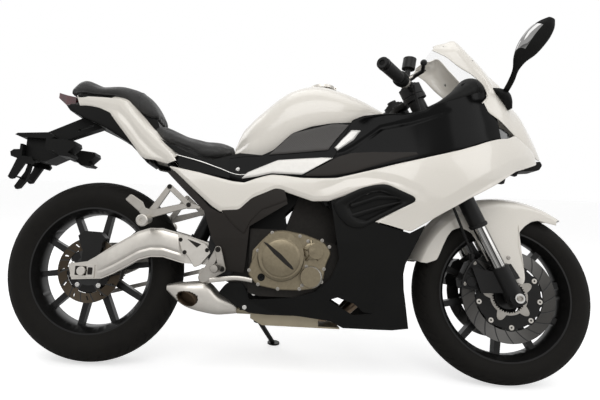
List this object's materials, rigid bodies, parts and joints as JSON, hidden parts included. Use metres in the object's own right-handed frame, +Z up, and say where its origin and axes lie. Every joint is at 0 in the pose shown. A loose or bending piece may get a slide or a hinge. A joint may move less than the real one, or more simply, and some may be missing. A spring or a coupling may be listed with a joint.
{
  "type": "sport bike",
  "caption": "Full-fairing sport motorcycle leaning on its side stand, with cast wheels, an upside-down fork, twin-cylinder engine, stepped seats and clip-on bars.",
  "frame": {"origin": "on the floor, below the middle of the bike's box", "axes": "+X forward, +Z up, +Y to the rider's left, the side that the bike leans to"},
  "size_m": [2.038, 0.7262, 1.1874],
  "materials": {
    "tyre": "matte",
    "black_wheel": "satin black",
    "disc_steel": "ground",
    "steel": "zinc",
    "black_metal": "satin black",
    "chrome": "polished",
    "white_paint": "gloss pearl white",
    "rubber": "matte",
    "satin_silver": "satin silver",
    "dark_engine": "cast",
    "bronze_engine": "satin bronze",
    "brown_steel": "heat-tinted",
    "beige_steel": "plain",
    "black_gloss": "gloss",
    "black_satin": "satin",
    "dark_trim": "matte",
    "seat_vinyl": "grained",
    "red_lens": "gloss",
    "clear_screen": "clear",
    "lamp_lens": "gloss"
  },
  "bodies": {
    "chassis": {"swingarm": "satin_silver", "rear_axle": "satin_silver", "rear_caliper": "black_metal", "drive_chain": "steel", "rear_shock": "black_metal", "main_frame": "black_metal", "rear_subframe": "black_metal", "fairing_stay": "black_metal", "engine_block": "dark_engine", "engine_covers": "bronze_engine", "radiator": "black_metal", "exhaust_header": "brown_steel", "exhaust_box": "beige_steel", "exhaust_tip": "satin_silver", "side_fairings": "white_paint", "upper_fairings": "black_gloss", "belly_pan": "black_satin", "fairing_vents": "black_satin", "tank_trims": "dark_trim", "seat_side_panels": "black_satin", "frame_covers": "dark_trim", "fuel_tank": "white_paint", "rider_seat": "seat_vinyl", "pillion_seat": "seat_vinyl", "tail_cowl": "white_paint", "tail_lamp": "red_lens", "rear_fender": "black_satin", "nose_cowl": "white_paint", "windscreen": "clear_screen", "headlight": "lamp_lens", "dashboard": "black_satin", "mirrors": "black_satin", "rearsets": "satin_silver", "pillion_footrests": "satin_silver"},
    "steering": {"fork_clamps": "black_metal", "fork_outer_tubes": "black_metal", "fork_inner_tubes": "chrome", "fork_bottoms": "black_metal", "front_calipers": "black_metal", "handlebars": "black_metal", "front_fender": "white_paint", "front_axle": "steel", "hand_levers": "black_metal", "front_brake_hose": "rubber"},
    "front_wheel": {"front_tyre": "tyre", "front_rim": "black_wheel", "front_discs": "disc_steel"},
    "rear_wheel": {"rear_tyre": "tyre", "rear_rim": "black_wheel", "rear_disc": "disc_steel", "rear_sprocket": "steel"},
    "side_stand": {"side_stand": "black_metal"},
    "fuel_cap": {"fuel_cap": "satin_silver"}
  },
  "joints": [
    {"name": "steering", "type": "hinge", "parent": "chassis", "child": "steering", "pos_m": [0.43779, -0.01947, 0.83116], "axis": [-0.4226, 0.1433, 0.8949], "range_deg": [-34, 34]},
    {"name": "front_wheel_spin", "type": "hinge", "parent": "steering", "child": "front_wheel", "pos_m": [0.727, -0.10633, 0.28885], "axis": [0, 0.9874, -0.1582], "continuous": true},
    {"name": "rear_wheel_spin", "type": "hinge", "parent": "chassis", "child": "rear_wheel", "pos_m": [-0.678, -0.10301, 0.30958], "axis": [0, 0.9874, -0.1582], "continuous": true},
    {"name": "side_stand_fold", "type": "hinge", "parent": "chassis", "child": "side_stand", "pos_m": [-0.098, -0.00406, 0.13068], "axis": [0, 0.7524, 0.6587], "range_deg": [0, 98]},
    {"name": "fuel_cap_hinge", "type": "hinge", "parent": "chassis", "child": "fuel_cap", "pos_m": [0.159, 0.00754, 0.99978], "axis": [0, 0.9874, -0.1582], "range_deg": [0, 95]}
  ]
}
